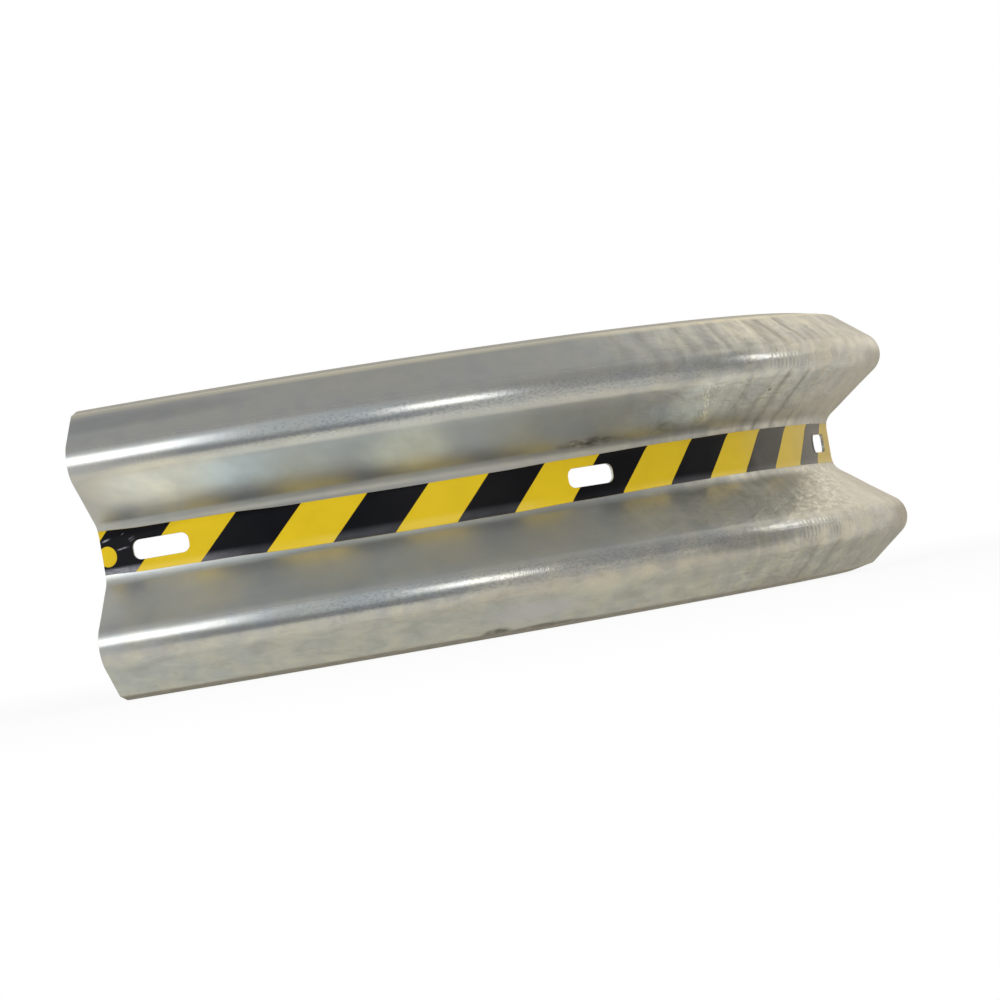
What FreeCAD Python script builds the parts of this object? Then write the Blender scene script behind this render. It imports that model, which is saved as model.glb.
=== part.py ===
"""Guard rail beam of W section, bent to a quarter circle, with a striped hazard tape in its valley.

Millimetres, +Z up. The beam stands on the edge of its lower lip, with its crests facing -Y and its ends
to the left (-X) and right (+X). The origin is under the middle of the bounding box. Every body is drawn
about the axis of the bend, which is its own Z axis, and is then placed in this frame.
"""
import FreeCAD
import Part
import math
import os

import Sketcher

os.makedirs("parts", exist_ok=True)
doc = FreeCAD.newDocument("guard_rail_bend")

# Driving sizes: alias, value in millimetres or degrees, meaning
SIZES = [
    ("sheet", 3.0, "thickness of the steel sheet"),
    ("bend_radius", 713.5, "radius of the bend, on the front face of the valley"),
    ("bend_angle", 90.0, "angle that the beam turns through"),
    ("valley_half", 16.5, "half height of the flat of the valley"),
    ("valley_bend", 22.0, "radius of the bends beside the valley, on the front face"),
    ("crest_height", 98.0, "height of each crest above or below the middle"),
    ("crest_depth", 79.0, "how far the crests stand in front of the valley"),
    ("crest_bend", 26.3, "radius of the crests, on the front face"),
    ("flange_angle", 52.0, "lean of the outer flanges from upright"),
    ("lip_forward", 28.7, "how far the corner of flange and lip stands in front of the valley"),
    ("lip_bend", 7.3, "radius of that corner, on the front face"),
    ("lip_angle", 10.0, "lean of the lips from level"),
    ("lip_end", 0.8, "how far the edge of the lips stands in front of the valley"),
    ("slot_length", 60.0, "length of the slots along the beam"),
    ("slot_height", 21.0, "height of the slots"),
    ("slot_end_flat", 5.0, "straight part of the short ends of the slots"),
    ("slot_inset_left", 67.0, "centre of the first slot from the left end, along the valley"),
    ("slot_inset_right", 77.0, "centre of the last slot from the right end, along the valley"),
    ("slot_count", 3.0, "number of slots, evenly spaced"),
    ("glue_line", 0.05, "clearance between the steel and the film"),
    ("film", 0.3, "thickness of the yellow film"),
    ("ink", 0.2, "thickness of the black print on the film"),
    ("film_trim", 0.2, "clearance by which film and print are cut back around the slots"),
    ("wrap_upper", 15.1, "how far the film runs up the upper bend of the valley"),
    ("wrap_lower", 21.4, "how far the film runs down the lower bend of the valley"),
    ("bar_width", 69.9, "width of each black bar and of the yellow field beside it, along the beam"),
    ("bar_slant", 44.3, "lean of the bars from upright"),
    ("bar_cut_off", 12.4, "part of the first bar that the left end cuts off, at mid height"),
    ("spot_diameter", 22.0, "round yellow spot in the first bar"),
    ("spot_inset", 6.4, "centre of that spot from the left end, along the valley"),
    ("spot_drop", 2.3, "centre of that spot below mid height"),
]

sizes = doc.addObject("Spreadsheet::Sheet", "sizes")
for row, (alias, value, meaning) in enumerate(SIZES, start=1):
    sizes.set("A%d" % row, meaning)
    sizes.set("B%d" % row, str(value))
    sizes.setAlias("B%d" % row, alias)
doc.recompute()

ORIGIN = -1
X_AXIS = -1
START = 1
END = 2
CENTRE = 3


def size(alias):
    """The value of one driving size."""
    return float(sizes.get(alias))


def at(x, y):
    return FreeCAD.Vector(x, y, 0.0)


def turned(angle_degrees):
    """Unit vector at this angle from the sketch's own x axis."""
    return at(math.cos(math.radians(angle_degrees)), math.sin(math.radians(angle_degrees)))


def plane(body, role):
    """One of the origin planes or axes of a body."""
    return next(f for f in body.Origin.OriginFeatures if f.Role == role)


def new_body(label):
    body = doc.addObject("PartDesign::Body", label)
    body.Label = label
    return body


def new_sketch(body, role, name, swing=None):
    """A sketch on an origin plane that holds the axis of the bend.

    swing is an expression for the angle, towards the left end, by which that plane is swung about the axis.
    """
    sketch = body.newObject("Sketcher::SketchObject", name)
    sketch.AttachmentSupport = [(plane(body, role), "")]
    sketch.MapMode = "FlatFace"
    if swing:
        sketch.AttachmentOffset = FreeCAD.Placement(at(0, 0), FreeCAD.Rotation(FreeCAD.Vector(0, -1, 0), 10))
        sketch.setExpression("AttachmentOffset.Rotation.Angle", swing)
    return sketch


def line(sketch, start, end):
    return sketch.addGeometry(Part.LineSegment(start, end), False)


def arc(sketch, centre, radius, first, last):
    """Arc from the angle first, anticlockwise to the angle last, in degrees."""
    circle = Part.Circle(centre, FreeCAD.Vector(0, 0, 1), radius)
    return sketch.addGeometry(Part.ArcOfCircle(circle, math.radians(first), math.radians(last)), False)


def constrain(sketch, kind, *where):
    return sketch.addConstraint(Sketcher.Constraint(kind, *where))


def measure(sketch, name, expression, kind, *where):
    """A named dimension that follows an expression of the driving sizes."""
    index = sketch.addConstraint(Sketcher.Constraint(kind, *where))
    sketch.renameConstraint(index, name)
    sketch.setExpression("Constraints." + name, expression)
    return index


def chain(sketch, kind, *ends):
    """Joins curves end to end. ends holds pairs of (curve, end) and (curve, end)."""
    for (first, first_end), (second, second_end) in ends:
        constrain(sketch, kind, first, first_end, second, second_end)


def web_lean():
    """Lean of the webs from upright, from the condition that each web touches both of its bends."""
    across = size("crest_height") - size("valley_half")
    bends = size("valley_bend") + size("crest_bend")
    forward = size("crest_depth") - bends
    return math.degrees(math.atan2(forward, across) + math.asin(bends / math.hypot(across, forward)))


ALONG = " / sizes.bend_radius * 180 / pi"
HALF_BEND = "sizes.bend_angle / 2"
FIRST_SLOT_SWING = HALF_BEND + " - sizes.slot_inset_left" + ALONG
SLOT_SPREAD = "sizes.bend_angle - (sizes.slot_inset_left + sizes.slot_inset_right)" + ALONG
BAR_PITCH = "(2 * sizes.bar_width)" + ALONG
FIRST_FIELD_SWING = HALF_BEND + " + (sizes.bar_cut_off + sizes.bar_width / 2)" + ALONG
BAR_COUNT = "floor((sizes.bend_radius * sizes.bend_angle * pi / 180 + sizes.bar_cut_off) / (2 * sizes.bar_width))"


def slot_outline(body, name, clearance):
    """Slot with rounded corners, drawn square to the sheet at the first slot from the left end."""
    sketch = new_sketch(body, "YZ_Plane", name, FIRST_SLOT_SWING)
    grown = size("slot_length") / 2
    tall = size("slot_height") / 2
    flat = size("slot_end_flat") / 2
    corner = tall - flat
    run = grown - corner
    top = line(sketch, at(-run, tall), at(run, tall))
    right = line(sketch, at(grown, flat), at(grown, -flat))
    bottom = line(sketch, at(run, -tall), at(-run, -tall))
    left = line(sketch, at(-grown, -flat), at(-grown, flat))
    upper_right = arc(sketch, at(run, flat), corner, 0, 90)
    lower_right = arc(sketch, at(run, -flat), corner, 270, 360)
    lower_left = arc(sketch, at(-run, -flat), corner, 180, 270)
    upper_left = arc(sketch, at(-run, flat), corner, 90, 180)
    chain(
        sketch, "Tangent",
        ((top, END), (upper_right, END)), ((upper_right, START), (right, START)),
        ((right, END), (lower_right, END)), ((lower_right, START), (bottom, START)),
        ((bottom, END), (lower_left, END)), ((lower_left, START), (left, START)),
        ((left, END), (upper_left, END)), ((upper_left, START), (top, START)),
    )
    constrain(sketch, "Horizontal", top)
    constrain(sketch, "Vertical", right)
    constrain(sketch, "Symmetric", top, START, bottom, START, ORIGIN, START)
    constrain(sketch, "Symmetric", left, START, right, START, ORIGIN, START)
    grow = " + 2 * " + clearance if clearance else ""
    measure(sketch, "slot_height", "sizes.slot_height" + grow, "DistanceY", bottom, START, top, END, 2 * tall)
    measure(sketch, "slot_length", "sizes.slot_length" + grow, "DistanceX", left, START, right, START, 2 * grown)
    measure(sketch, "end_flat", "sizes.slot_end_flat", "DistanceY", right, END, right, START, 2 * flat)
    return sketch


def cut_outwards(body, sketch, name):
    """Cuts a sketch through the sheet, from the axis of the bend outwards."""
    pocket = body.newObject("PartDesign::Pocket", name)
    pocket.Profile = sketch
    pocket.Type = "ThroughAll"
    pocket.Reversed = True
    return pocket


def repeat_along_bend(body, feature, name, spread, count):
    """Repeats a cut along the bend. spread is the angle from the first copy to the last."""
    pattern = body.newObject("PartDesign::PolarPattern", name)
    pattern.Originals = [feature]
    pattern.Axis = (plane(body, "Z_Axis"), [""])
    pattern.setExpression("Angle", spread)
    pattern.setExpression("Occurrences", count)
    body.Tip = pattern
    return pattern


def cut_slots(body, clearance=""):
    sketch = slot_outline(body, body.Label + "_slot_outline", clearance)
    pocket = cut_outwards(body, sketch, body.Label + "_first_slot")
    repeat_along_bend(body, pocket, body.Label + "_slots", SLOT_SPREAD, "sizes.slot_count")


def valley_film_section(sketch, inner, outer):
    """Section of a film that follows the flat of the valley and runs up both of its bends.

    inner and outer are expressions for how far its two faces stand in front of the steel.
    """
    inner_gap = size("glue_line")
    outer_gap = inner_gap + size("film")
    if "ink" in outer:
        inner_gap = outer_gap
        outer_gap += size("ink")
    half = size("valley_half")
    steel = size("bend_radius")
    bend = size("valley_bend")
    upper = at(steel + bend, half)
    lower = at(steel + bend, -half)
    faces = []
    for gap, expression, face in ((inner_gap, inner, "inner"), (outer_gap, outer, "outer")):
        flat = line(sketch, at(steel + gap, -half), at(steel + gap, half))
        top = arc(sketch, upper, bend - gap, 180 - size("wrap_upper"), 180)
        bottom = arc(sketch, lower, bend - gap, 180, 180 + size("wrap_lower"))
        chain(sketch, "Tangent", ((flat, END), (top, END)), ((bottom, START), (flat, START)))
        constrain(sketch, "Vertical", flat)
        measure(sketch, face + "_face", "sizes.bend_radius + " + expression,
                "DistanceX", ORIGIN, START, flat, END, steel + gap)
        measure(sketch, face + "_wrap_upper", "sizes.wrap_upper", "Angle", top, math.radians(size("wrap_upper")))
        measure(sketch, face + "_wrap_lower", "sizes.wrap_lower", "Angle", bottom, math.radians(size("wrap_lower")))
        faces.append((flat, top, bottom))
    (inner_flat, inner_top, inner_bottom), (outer_flat, outer_top, outer_bottom) = faces
    measure(sketch, "flat_top", "sizes.valley_half", "DistanceY", ORIGIN, START, inner_flat, END, half)
    measure(sketch, "flat_bottom", "sizes.valley_half", "DistanceY", inner_flat, START, ORIGIN, START, half)
    measure(sketch, "bend_centre", "sizes.bend_radius + sizes.valley_bend",
            "DistanceX", ORIGIN, START, inner_top, CENTRE, steel + bend)
    chain(sketch, "Coincident", ((inner_top, CENTRE), (outer_top, CENTRE)),
          ((inner_bottom, CENTRE), (outer_bottom, CENTRE)))
    constrain(sketch, "Vertical", inner_top, CENTRE, inner_bottom, CENTRE)
    top_edge = line(sketch, upper + turned(180 - size("wrap_upper")) * (bend - inner_gap),
                    upper + turned(180 - size("wrap_upper")) * (bend - outer_gap))
    bottom_edge = line(sketch, lower + turned(180 + size("wrap_lower")) * (bend - inner_gap),
                       lower + turned(180 + size("wrap_lower")) * (bend - outer_gap))
    chain(sketch, "Coincident", ((inner_top, START), (top_edge, START)), ((outer_top, START), (top_edge, END)),
          ((inner_bottom, END), (bottom_edge, START)), ((outer_bottom, END), (bottom_edge, END)))


# The rail. Half of its section is drawn, from mid height to the edge of the upper lip
rail = new_body("rail")
section = new_sketch(rail, "XZ_Plane", "rail_half_section")
sheet = size("sheet")
valley_face = size("bend_radius")
valley_half = size("valley_half")
valley_bend = size("valley_bend")
crest_bend = size("crest_bend")
lip_bend = size("lip_bend")
web = web_lean()
flange = size("flange_angle")
lip = size("lip_angle")
valley_centre = at(valley_face + valley_bend, valley_half)
crest_centre = at(valley_face + size("crest_depth") - crest_bend, size("crest_height"))
flange_foot = crest_centre + turned(flange) * crest_bend
corner_x = valley_face + size("lip_forward")
corner = at(corner_x, flange_foot.y + (flange_foot.x - corner_x) / math.tan(math.radians(flange)))
turn = 90 - lip - flange
corner_run = lip_bend * math.tan(math.radians(turn / 2))
lip_centre = corner - turned(90 + flange) * corner_run - turned(flange) * lip_bend
lip_run = (corner_x - valley_face - size("lip_end")) / math.cos(math.radians(lip))
lip_tip = corner + turned(180 - lip) * lip_run


def section_face(offset):
    """One face of the sheet, from the valley to the lip, set back from the front face by offset."""
    valley_radius = valley_bend + offset
    crest_radius = crest_bend - offset
    lip_radius = lip_bend - offset
    flat = line(section, at(valley_face - offset, 0), at(valley_face - offset, valley_half))
    valley_arc = arc(section, valley_centre, valley_radius, 180 - web, 180)
    web_line = line(section, valley_centre + turned(180 - web) * valley_radius,
                    crest_centre + turned(-web) * crest_radius)
    crest_arc = arc(section, crest_centre, crest_radius, -web, flange)
    flange_line = line(section, crest_centre + turned(flange) * crest_radius,
                       lip_centre + turned(flange) * lip_radius)
    lip_arc = arc(section, lip_centre, lip_radius, flange, 90 - lip)
    lip_line = line(section, lip_centre + turned(90 - lip) * lip_radius,
                    lip_tip - turned(90 - lip) * offset)
    chain(
        section, "Tangent",
        ((flat, END), (valley_arc, END)), ((valley_arc, START), (web_line, START)),
        ((web_line, END), (crest_arc, START)), ((crest_arc, END), (flange_line, START)),
        ((flange_line, END), (lip_arc, START)), ((lip_arc, END), (lip_line, START)),
    )
    constrain(section, "Vertical", flat)
    constrain(section, "PointOnObject", flat, START, X_AXIS)
    return flat, valley_arc, web_line, crest_arc, flange_line, lip_arc, lip_line


front = section_face(0)
back = section_face(sheet)
front_flat, front_valley, front_web, front_crest, front_flange, front_lip_bend, front_lip = front
back_flat, back_valley, back_web, back_crest, back_flange, back_lip_bend, back_lip = back
edge = line(section, lip_tip, lip_tip - turned(90 - lip) * sheet)
middle = line(section, at(valley_face - sheet, 0), at(valley_face, 0))
sharp_corner = section.addGeometry(Part.Point(corner), True)
chain(section, "Coincident", ((front_lip, END), (edge, START)), ((back_lip, END), (edge, END)),
      ((back_flat, START), (middle, START)), ((front_flat, START), (middle, END)),
      ((front_valley, CENTRE), (back_valley, CENTRE)), ((front_crest, CENTRE), (back_crest, CENTRE)),
      ((front_lip_bend, CENTRE), (back_lip_bend, CENTRE)))
constrain(section, "Perpendicular", front_lip, edge)
constrain(section, "Parallel", front_lip, back_lip)
constrain(section, "PointOnObject", sharp_corner, START, front_flange)
constrain(section, "PointOnObject", sharp_corner, START, front_lip)
measure(section, "valley_face", "sizes.bend_radius", "DistanceX", ORIGIN, START, front_flat, START, valley_face)
measure(section, "valley_half", "sizes.valley_half", "DistanceY", ORIGIN, START, front_flat, END, valley_half)
measure(section, "valley_bend", "sizes.valley_bend", "Radius", front_valley, valley_bend)
measure(section, "valley_bend_back", "sizes.valley_bend + sizes.sheet", "Radius", back_valley, valley_bend + sheet)
measure(section, "crest_height", "sizes.crest_height", "DistanceY", ORIGIN, START, front_crest, CENTRE, crest_centre.y)
measure(section, "crest_centre", "sizes.bend_radius + sizes.crest_depth - sizes.crest_bend",
        "DistanceX", ORIGIN, START, front_crest, CENTRE, crest_centre.x)
measure(section, "crest_bend", "sizes.crest_bend", "Radius", front_crest, crest_bend)
measure(section, "crest_bend_back", "sizes.crest_bend - sizes.sheet", "Radius", back_crest, crest_bend - sheet)
measure(section, "flange_angle", "90 + sizes.flange_angle", "Angle", front_flange, math.radians(90 + flange))
measure(section, "lip_corner", "sizes.bend_radius + sizes.lip_forward",
        "DistanceX", ORIGIN, START, sharp_corner, START, corner_x)
measure(section, "lip_bend", "sizes.lip_bend", "Radius", front_lip_bend, lip_bend)
measure(section, "lip_bend_back", "sizes.lip_bend - sizes.sheet", "Radius", back_lip_bend, lip_bend - sheet)
measure(section, "lip_angle", "180 - sizes.lip_angle", "Angle", front_lip, math.radians(180 - lip))
measure(section, "lip_end", "sizes.bend_radius + sizes.lip_end", "DistanceX", ORIGIN, START, front_lip, END, lip_tip.x)
half_height = constrain(section, "DistanceY", ORIGIN, START, front_lip, END, lip_tip.y)
section.setDriving(half_height, False)
section.renameConstraint(half_height, "half_height")

upper_half = rail.newObject("PartDesign::Revolution", "upper_half")
upper_half.Profile = section
upper_half.ReferenceAxis = (section, ["V_Axis"])
upper_half.Midplane = True
upper_half.setExpression("Angle", "sizes.bend_angle")

both_halves = rail.newObject("PartDesign::Mirrored", "both_halves")
both_halves.Originals = [upper_half]
both_halves.MirrorPlane = (plane(rail, "XY_Plane"), [""])
rail.Tip = both_halves
doc.recompute()
uncut_rail = rail.Shape.Volume
cut_slots(rail)

# The yellow film, as long as the rail
hazard_tape = new_body("hazard_tape")
film_section = new_sketch(hazard_tape, "XZ_Plane", "film_section")
valley_film_section(film_section, "sizes.glue_line", "sizes.glue_line + sizes.film")
film_sheet = hazard_tape.newObject("PartDesign::Revolution", "film_sheet")
film_sheet.Profile = film_section
film_sheet.ReferenceAxis = (film_section, ["V_Axis"])
film_sheet.Midplane = True
film_sheet.setExpression("Angle", "sizes.bend_angle")
doc.recompute()
uncut_tape = hazard_tape.Shape.Volume
cut_slots(hazard_tape, "sizes.film_trim")

# The black bars: one print layer from the left end to the last yellow field, with the yellow fields cut out
tape_black_bars = new_body("tape_black_bars")
tape_black_bars.AllowCompound = True
ink_section = new_sketch(tape_black_bars, "XZ_Plane", "ink_section", HALF_BEND)
valley_film_section(ink_section, "sizes.glue_line + sizes.film", "sizes.glue_line + sizes.film + sizes.ink")
ink_layer = tape_black_bars.newObject("PartDesign::Revolution", "ink_layer")
ink_layer.Profile = ink_section
ink_layer.ReferenceAxis = (ink_section, ["V_Axis"])
ink_layer.setExpression(
    "Angle", "(2 * sizes.bar_width * " + BAR_COUNT + " - sizes.bar_cut_off - sizes.bar_width / 2)" + ALONG)
doc.recompute()
uncut_ink = tape_black_bars.Shape.Volume

field_outline = new_sketch(tape_black_bars, "YZ_Plane", "yellow_field_outline", FIRST_FIELD_SWING)
reach = size("valley_half") + size("valley_bend")
lean = reach * math.tan(math.radians(size("bar_slant")))
half_bar = size("bar_width") / 2
field_top = line(field_outline, at(lean - half_bar, reach), at(lean + half_bar, reach))
field_right = line(field_outline, at(lean + half_bar, reach), at(half_bar - lean, -reach))
field_bottom = line(field_outline, at(half_bar - lean, -reach), at(-lean - half_bar, -reach))
field_left = line(field_outline, at(-lean - half_bar, -reach), at(lean - half_bar, reach))
chain(
    field_outline, "Coincident",
    ((field_top, END), (field_right, START)), ((field_right, END), (field_bottom, START)),
    ((field_bottom, END), (field_left, START)), ((field_left, END), (field_top, START)),
)
constrain(field_outline, "Horizontal", field_top)
constrain(field_outline, "Horizontal", field_bottom)
constrain(field_outline, "Parallel", field_left, field_right)
constrain(field_outline, "Symmetric", field_top, START, field_bottom, START, ORIGIN, START)
measure(field_outline, "field_width", "sizes.bar_width",
        "DistanceX", field_top, START, field_top, END, 2 * half_bar)
measure(field_outline, "field_reach", "sizes.valley_half + sizes.valley_bend",
        "DistanceY", ORIGIN, START, field_top, START, reach)
measure(field_outline, "field_slant", "90 - sizes.bar_slant",
        "Angle", field_left, math.radians(90 - size("bar_slant")))
first_field = cut_outwards(tape_black_bars, field_outline, "first_yellow_field")
repeat_along_bend(tape_black_bars, first_field, "yellow_fields",
                  BAR_PITCH + " * " + BAR_COUNT, BAR_COUNT + " + 1")
doc.recompute()
bars_only = tape_black_bars.Shape.Volume

spot_outline = new_sketch(tape_black_bars, "YZ_Plane", "spot_outline",
                          HALF_BEND + " - sizes.spot_inset" + ALONG)
spot = spot_outline.addGeometry(
    Part.Circle(at(0, -size("spot_drop")), FreeCAD.Vector(0, 0, 1), size("spot_diameter") / 2), False)
constrain(spot_outline, "PointOnObject", spot, CENTRE, -2)
measure(spot_outline, "spot_drop", "sizes.spot_drop", "DistanceY", spot, CENTRE, ORIGIN, START, size("spot_drop"))
measure(spot_outline, "spot_diameter", "sizes.spot_diameter", "Diameter", spot, size("spot_diameter"))
yellow_spot = cut_outwards(tape_black_bars, spot_outline, "yellow_spot")
tape_black_bars.Tip = yellow_spot
doc.recompute()
spotted = tape_black_bars.Shape.Volume
cut_slots(tape_black_bars, "sizes.film_trim")

# Every body stands on the lower lip, with the middle of its bounding box over the origin
BEHIND = "((sizes.bend_radius + sizes.crest_depth)" \
    " + (sizes.bend_radius - sizes.sheet) * cos(sizes.bend_angle / 2)) / 2"
for body in (rail, hazard_tape, tape_black_bars):
    body.Placement = FreeCAD.Placement(FreeCAD.Vector(0, 1, 1), FreeCAD.Rotation(FreeCAD.Vector(0, 0, 1), -90))
    body.setExpression("Placement.Base.y", BEHIND)
    body.setExpression("Placement.Base.z", "rail_half_section.Constraints.half_height")
doc.recompute()

# Nothing is written unless every feature is sound and every cut has taken material away
for feature in doc.Objects:
    if "Invalid" in feature.State or "Error" in feature.State:
        raise RuntimeError("%s is %s" % (feature.Name, feature.State))
for sketch in (section, film_section, ink_section, field_outline, spot_outline):
    if not sketch.FullyConstrained:
        raise RuntimeError("%s is not fully constrained" % sketch.Name)
for name, before, after in (
    ("rail slots", uncut_rail, rail.Shape.Volume),
    ("tape slots", uncut_tape, hazard_tape.Shape.Volume),
    ("yellow fields", uncut_ink, bars_only),
    ("yellow spot", bars_only, spotted),
    ("bar slots", spotted, tape_black_bars.Shape.Volume),
):
    if after > before - 0.1:
        raise RuntimeError("the %s cut nothing" % name)

for body in (rail, hazard_tape, tape_black_bars):
    shape = body.Shape
    if shape.isNull() or not shape.isValid():
        raise RuntimeError("%s has no sound shape" % body.Label)
    box = shape.BoundBox
    print("%s: %d solid(s), %.0f mm3, x %.2f..%.2f, y %.2f..%.2f, z %.2f..%.2f" % (
        body.Label, len(shape.Solids), shape.Volume, box.XMin, box.XMax, box.YMin, box.YMax, box.ZMin, box.ZMax))
    shape.exportStep("parts/%s.step" % body.Label)
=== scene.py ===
import math

import bpy
from mathutils import Matrix, Vector
from mathutils.geometry import delaunay_2d_cdt


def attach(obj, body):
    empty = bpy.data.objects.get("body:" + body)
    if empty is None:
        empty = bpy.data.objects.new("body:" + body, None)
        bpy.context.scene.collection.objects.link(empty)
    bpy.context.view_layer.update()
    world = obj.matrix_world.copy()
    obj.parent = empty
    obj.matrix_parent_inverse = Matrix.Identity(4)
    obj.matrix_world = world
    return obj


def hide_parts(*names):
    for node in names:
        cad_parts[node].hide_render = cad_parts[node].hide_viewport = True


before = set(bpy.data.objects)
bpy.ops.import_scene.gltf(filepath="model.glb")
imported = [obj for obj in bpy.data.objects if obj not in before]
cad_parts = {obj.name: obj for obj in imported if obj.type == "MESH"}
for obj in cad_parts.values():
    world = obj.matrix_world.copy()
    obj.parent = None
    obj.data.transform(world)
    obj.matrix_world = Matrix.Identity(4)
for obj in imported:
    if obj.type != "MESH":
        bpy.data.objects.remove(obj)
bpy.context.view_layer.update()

# Sizes of the rail, in metres and degrees, as the solids have them
SHEET = 0.003
BEND_RADIUS = 0.7135
BEND_ANGLE = 90.0
VALLEY_HALF = 0.0165
VALLEY_BEND = 0.022
CREST_HEIGHT = 0.098
CREST_DEPTH = 0.079
CREST_BEND = 0.0263
FLANGE_LEAN = 52.0
LIP_FORWARD = 0.0287
LIP_BEND = 0.0073
LIP_LEAN = 10.0
LIP_END = 0.0008
SLOT_LENGTH = 0.060
SLOT_HEIGHT = 0.021
SLOT_END_FLAT = 0.005
SLOT_INSETS = (0.067, 0.077)
GLUE_LINE = 0.00005
FILM = 0.0003
INK = 0.0002
FILM_TRIM = 0.0002
WRAP_UPPER = 15.1
WRAP_LOWER = 21.4
BAR_WIDTH = 0.0699
BAR_SLANT = 44.3
BAR_CUT_OFF = 0.0124
BAR_COUNT = 8
SPOT_RADIUS = 0.011
SPOT_INSET = 0.0064
SPOT_DROP = 0.0023

ARC_LENGTH = BEND_RADIUS * math.radians(BEND_ANGLE)
LEFT_END = -ARC_LENGTH / 2
RIGHT_END = ARC_LENGTH / 2
SPOT_CENTRE = (LEFT_END + SPOT_INSET, -SPOT_DROP)

# Fineness: steps along the beam, steps of each part of the half section, rows of the film, corners of its spot
STATIONS = 352
FLAT_STEPS = 3
VALLEY_STEPS = 9
WEB_STEPS = 9
CREST_STEPS = 22
FLANGE_STEPS = 7
LIP_BEND_STEPS = 5
LIP_STEPS = 4
SLOT_CORNER_STEPS = 8
FILM_ROWS = 24
SPOT_CORNERS = 48

# An edge stays sharp where its faces meet at more than this many degrees
SHARP_ANGLE = 35

# Width of the broken edges, and how near to a slot or a border the grids have no points
EDGE_BREAK = 0.0004
SHEET_CLEARANCE = 0.0012
FILM_CLEARANCE = 0.0008
BORDER_CLEARANCE = 0.0007

# Skew of the left end's cut: inwards at mid height, change of that per metre upwards, length that it fades over
END_SKEW = (0.0029, -0.0065, 0.030)

# How far the long edges of the film stray from a true line: share of the length, and offset upwards
EDGE_WANDER = ((0.0, 0.0036), (0.05, 0.0013), (0.12, 0.0004), (0.19, -0.0022), (0.30, -0.0030), (0.39, -0.0026),
               (0.48, -0.0006), (0.60, 0.0013), (0.72, 0.0022), (0.85, 0.0016), (1.0, 0.0008))


def lean_vector(degrees):
    """Front normal of the sheet, as (forward, upward), where the sheet has turned by this angle."""
    turn = math.radians(degrees)
    return math.cos(turn), -math.sin(turn)


def web_lean():
    """Lean of the webs from upright: each web touches the bend of the valley and the bend of its crest."""
    across = CREST_HEIGHT - VALLEY_HALF
    bends = VALLEY_BEND + CREST_BEND
    forward = CREST_DEPTH - bends
    return math.degrees(math.atan2(forward, across) + math.asin(bends / math.hypot(across, forward)))


def arc_points(centre, radius, first, last, count):
    """Points and front normals along a bend. The radius is negative where the front face is hollow."""
    normals = [lean_vector(first + (last - first) * i / count) for i in range(count + 1)]
    return [((centre[0] + normal[0] * radius, centre[1] + normal[1] * radius), normal) for normal in normals]


def straight_points(start, end, normal, count):
    """Points between two bends, without the two ends."""
    return [((start[0] + (end[0] - start[0]) * i / count, start[1] + (end[1] - start[1]) * i / count), normal)
            for i in range(1, count)]


def half_section():
    """Front face from mid height to the upper lip: (forward, upward), front normal, length along the sheet."""
    lean = web_lean()
    flange = math.radians(FLANGE_LEAN)
    lip = math.radians(LIP_LEAN)
    flat = [((0.0, VALLEY_HALF * i / FLAT_STEPS), (1.0, 0.0)) for i in range(FLAT_STEPS)]
    valley = arc_points((VALLEY_BEND, VALLEY_HALF), -VALLEY_BEND, 0, lean, VALLEY_STEPS)
    crest_centre = (CREST_DEPTH - CREST_BEND, CREST_HEIGHT)
    crest = arc_points(crest_centre, CREST_BEND, lean, -FLANGE_LEAN, CREST_STEPS)
    foot = crest[-1][0]
    corner_up = foot[1] + (foot[0] - LIP_FORWARD) / math.tan(flange)
    run = LIP_BEND * math.tan((math.pi / 2 - lip - flange) / 2)
    bend_start = (LIP_FORWARD + run * math.sin(flange), corner_up - run * math.cos(flange))
    out = lean_vector(-FLANGE_LEAN)
    lip_centre = (bend_start[0] - out[0] * LIP_BEND, bend_start[1] - out[1] * LIP_BEND)
    lip_bend = arc_points(lip_centre, LIP_BEND, -FLANGE_LEAN, LIP_LEAN - 90, LIP_BEND_STEPS)
    tip = (LIP_END, corner_up + (LIP_FORWARD - LIP_END) * math.tan(lip))
    lip_out = lean_vector(LIP_LEAN - 90)
    short_tip = (tip[0] + EDGE_BREAK * math.cos(lip), tip[1] - EDGE_BREAK * math.sin(lip))
    web = straight_points(valley[-1][0], crest[0][0], lean_vector(lean), WEB_STEPS)
    flange_run = straight_points(foot, lip_bend[0][0], out, FLANGE_STEPS)
    lip_run = straight_points(lip_bend[-1][0], short_tip, lip_out, LIP_STEPS)
    line = flat + valley + web + crest + flange_run + lip_bend + lip_run + [(short_tip, lip_out)]
    rows = []
    along = 0.0
    for i, (place, normal) in enumerate(line):
        if i:
            along += math.dist(place, line[i - 1][0])
        rows.append((place, normal, along))
    return rows, tip


def whole_section():
    """Front face from the lower lip to the upper lip."""
    upper, tip = half_section()
    lower = [((p[0], -p[1]), (n[0], -n[1]), -v) for p, n, v in upper[:0:-1]]
    return lower + upper, tip


SECTION, LIP_TIP = whole_section()
FLAT_ROWS = [i for i, (p, _, _) in enumerate(SECTION) if abs(p[1]) <= VALLEY_HALF + 1e-7 and p[0] < 1e-6]
MID_HEIGHT = LIP_TIP[1]
BEND_CENTRE_Y = ((BEND_RADIUS + CREST_DEPTH)
                 + (BEND_RADIUS - SHEET) * math.cos(math.radians(BEND_ANGLE / 2))) / 2
FILM_TOP = VALLEY_HALF + VALLEY_BEND * math.radians(WRAP_UPPER)
FILM_BOTTOM = -VALLEY_HALF - VALLEY_BEND * math.radians(WRAP_LOWER)

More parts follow.
